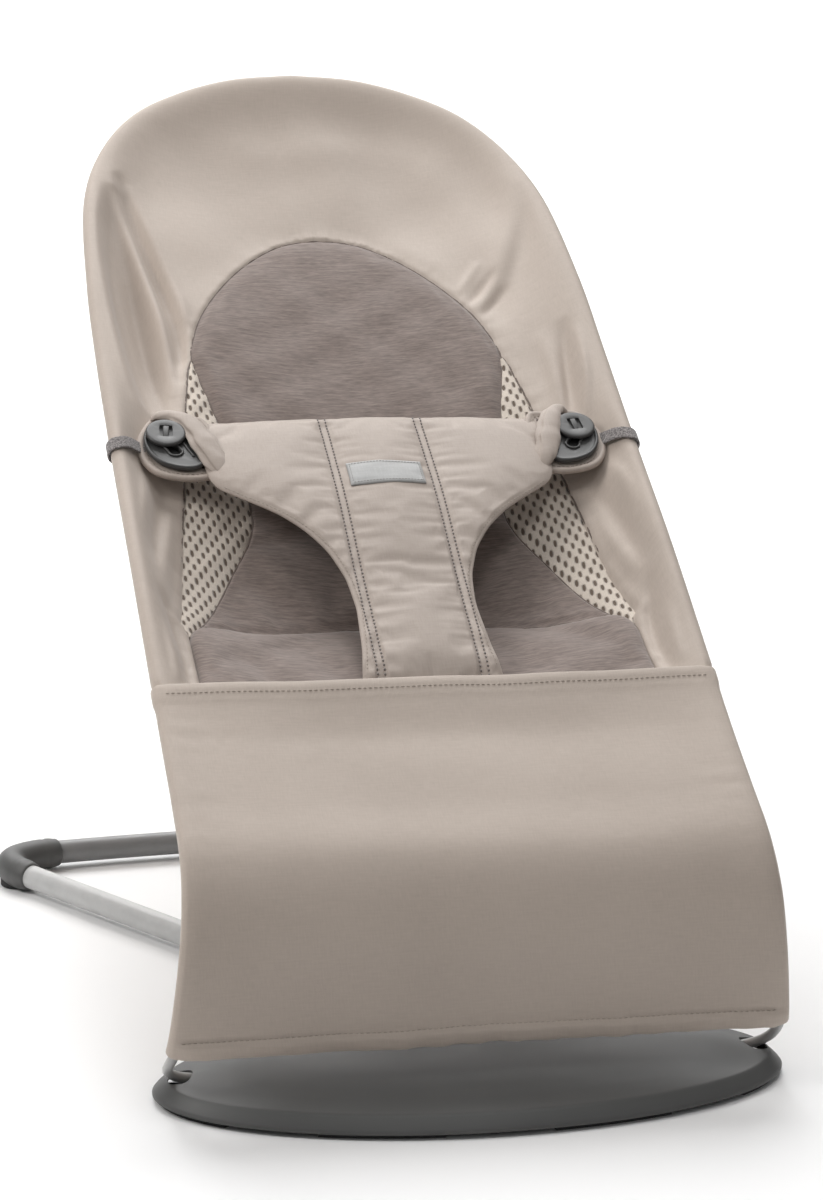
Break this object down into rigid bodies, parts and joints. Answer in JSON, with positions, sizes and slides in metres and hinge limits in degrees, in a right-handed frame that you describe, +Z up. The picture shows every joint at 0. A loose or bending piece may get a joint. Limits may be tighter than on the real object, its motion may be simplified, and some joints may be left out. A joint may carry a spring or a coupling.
{
  "type": "baby bouncer seat",
  "caption": "Baby bouncer: sewn cover on a sprung wire hoop, padded crotch restraint, oval floor plate, rear tube frame and a fold-down stay.",
  "frame": {"origin": "on the floor, at the middle of the object's box", "axes": "+Z up, front (the child's feet) faces -Y, head end +Y, mirror plane X = 0"},
  "size_m": [0.5184, 0.7952, 0.5543],
  "materials": {
    "plate_plastic": "fine moulded texture, dark grey",
    "rubber": "matt black",
    "steel": "plain",
    "dark_paint": "satin dark grey powder coat",
    "light_paint": "satin light grey powder coat",
    "wire_paint": "satin light grey powder coat",
    "cover_woven": "greige satin-woven cotton",
    "pad_jersey": "melange jersey",
    "gusset_mesh": "open spacer mesh, cream",
    "harness_woven": "greige woven cotton, padded",
    "label": "silver-grey woven ribbon, blank",
    "keyhole_plastic": "moulded, dark grey",
    "button_plastic": "smooth, dark grey",
    "elastic": "melange elastic webbing"
  },
  "bodies": {
    "base": {"base_plate": "plate_plastic", "plate_pad_left": "rubber", "plate_pad_right": "rubber", "plate_pad_front_left": "rubber", "plate_pad_front_right": "rubber", "bush_saddle_left": "plate_plastic", "bush_saddle_right": "plate_plastic", "saddle_screw_left": "steel", "saddle_screw_right": "steel", "tube_socket": "plate_plastic", "rear_crossbar": "dark_paint", "side_tube_left": "light_paint", "side_tube_right": "light_paint", "corner_sleeve_left": "plate_plastic", "corner_sleeve_right": "plate_plastic", "rear_foot_left": "rubber", "rear_foot_right": "rubber", "stay_bracket_left": "plate_plastic", "stay_bracket_right": "plate_plastic"},
    "seat_bush": {"torsion_bush_left": "rubber", "torsion_bush_right": "rubber"},
    "seat": {"seat_hoop": "wire_paint", "cross_wire_lower": "wire_paint", "cross_wire_upper": "wire_paint", "recline_rack_left": "plate_plastic", "recline_rack_right": "plate_plastic", "cover_back": "cover_woven", "leg_panel": "cover_woven", "inner_pad": "pad_jersey", "mesh_gusset_left": "gusset_mesh", "mesh_gusset_right": "gusset_mesh", "elastic_strap_left": "elastic", "elastic_strap_right": "elastic", "strap_anchor_left": "plate_plastic", "strap_anchor_right": "plate_plastic", "crotch_anchor": "cover_woven"},
    "stay_bush": {"pivot_bush_left": "rubber", "pivot_bush_right": "rubber"},
    "stay": {"support_stay": "wire_paint", "stay_grip": "plate_plastic"},
    "harness": {"harness_panel": "harness_woven", "harness_label": "label", "keyhole_plate_left": "keyhole_plastic", "keyhole_plate_right": "keyhole_plastic"},
    "button_left": {"button_left": "button_plastic"},
    "button_right": {"button_right": "button_plastic"}
  },
  "joints": [
    {"name": "bounce", "type": "hinge", "parent": "base", "child": "seat_bush", "pos_m": [0, -0.3056, 0.0105], "axis": [-1, 0, 0], "range_deg": [-3, 3], "stiffness_Nm_per_rad": 120, "springref_deg": -2.41},
    {"name": "recline", "type": "hinge", "parent": "seat_bush", "child": "seat", "pos_m": [0, -0.3056, 0.0105], "axis": [-1, 0, 0], "range_deg": [0, 32]},
    {"name": "stay_bounce", "type": "hinge", "parent": "base", "child": "stay_bush", "pos_m": [0, -0.0796, 0.0225], "axis": [-1, 0, 0], "range_deg": [-6, 6]},
    {"name": "stay_fold", "type": "hinge", "parent": "stay_bush", "child": "stay", "pos_m": [0, -0.0796, 0.0225], "axis": [-1, 0, 0], "range_deg": [0, 64]},
    {"name": "harness_open", "type": "hinge", "parent": "seat", "child": "harness", "pos_m": [0, -0.1776, 0.2195], "axis": [1, 0, 0], "range_deg": [0, 75]},
    {"name": "button_slide_left", "type": "slide", "parent": "harness", "child": "button_left", "axis": [0, -0.8829, -0.4695], "range_m": [0, 0.008]},
    {"name": "button_slide_right", "type": "slide", "parent": "harness", "child": "button_right", "axis": [0, -0.8829, -0.4695], "range_m": [0, 0.008]}
  ],
  "couplings": [
    {"joint": "stay_bounce", "follows": "bounce", "ratio": 2},
    {"joint": "stay_fold", "follows": "recline", "ratio": 2}
  ]
}
